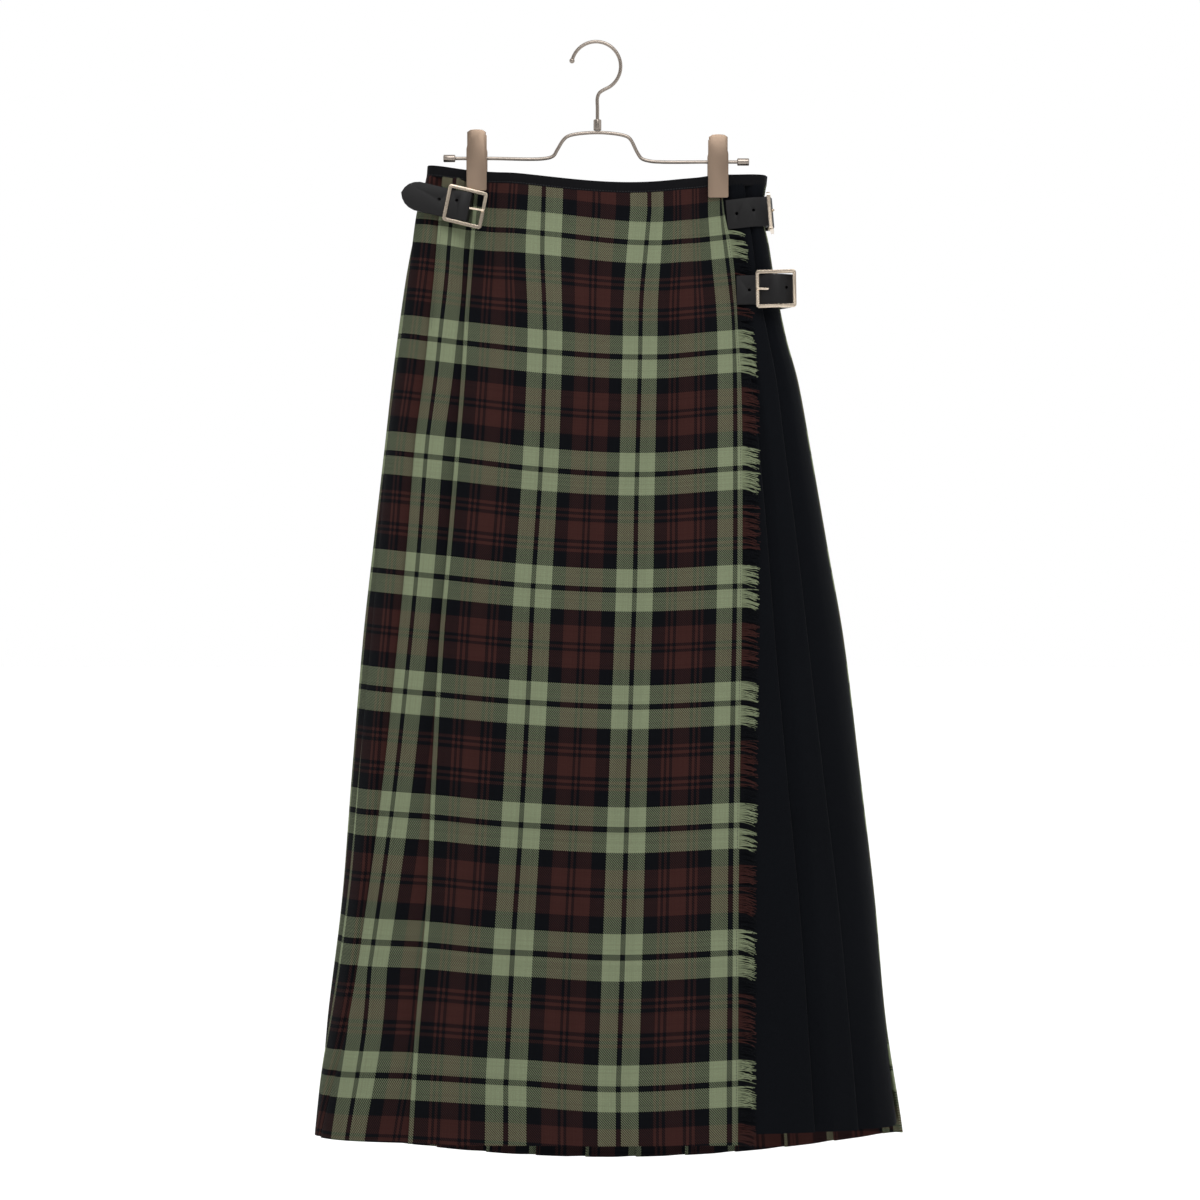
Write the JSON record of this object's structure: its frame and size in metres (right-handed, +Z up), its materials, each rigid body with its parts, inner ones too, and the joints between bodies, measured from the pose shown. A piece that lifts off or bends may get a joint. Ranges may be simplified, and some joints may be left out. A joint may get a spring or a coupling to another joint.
{
  "type": "pleated wrap skirt on a clip hanger",
  "caption": "Long wrap skirt with a fringed tartan apron, knife pleats, a plain black side panel and buckled straps, held at the waist by a clip hanger.",
  "frame": {"origin": "inside top of the hanger's hook, in the middle of its wire, where it rests on a rail", "axes": "+Z up along the hanging skirt; the front faces -Y; +X to the right of someone who looks at the front"},
  "size_m": [0.5475, 0.1122, 1.0452],
  "materials": {
    "tartan_wool": "twill wool in black, brown and pale green tartan",
    "black_wool": "matt plain black wool",
    "fringe_wool": "loose wool threads in the colours of the tartan",
    "waist_binding": "matt black woven binding",
    "black_leather": "smooth black leather",
    "buckle_nickel": "polished nickel",
    "hanger_wire": "satin nickel wire",
    "clip_plate": "satin warm nickel plate",
    "clip_pad": "matt"
  },
  "bodies": {
    "root": {"outer_apron": "tartan_wool", "side_pleats": "tartan_wool", "back_pleats_left": "tartan_wool", "back_pleats_right": "tartan_wool", "under_apron": "black_wool", "black_side_pleats": "black_wool", "fringe_upper": "fringe_wool", "fringe_lower": "fringe_wool", "band_apron": "waist_binding", "band_pleats": "waist_binding", "band_under": "waist_binding", "band_black_side": "waist_binding", "strap_left": "black_leather", "strap_waist": "black_leather", "strap_hip": "black_leather", "tab_left": "black_leather", "tab_waist": "black_leather", "tab_hip": "black_leather", "buckle_left": "buckle_nickel", "buckle_waist": "buckle_nickel", "buckle_hip": "buckle_nickel", "prong_left": "buckle_nickel", "prong_waist": "buckle_nickel", "prong_hip": "buckle_nickel", "hanger_hook": "hanger_wire", "hanger_ferrule": "hanger_wire", "hanger_bar": "hanger_wire", "hanger_cap_left": "hanger_wire", "hanger_cap_right": "hanger_wire", "clip_left_spring": "hanger_wire", "clip_right_spring": "hanger_wire", "clip_left_front_jaw": "clip_plate", "clip_left_back_jaw": "clip_plate", "clip_right_front_jaw": "clip_plate", "clip_right_back_jaw": "clip_plate", "clip_left_front_pad": "clip_pad", "clip_left_back_pad": "clip_pad", "clip_right_front_pad": "clip_pad", "clip_right_back_pad": "clip_pad"}
  },
  "joints": []
}
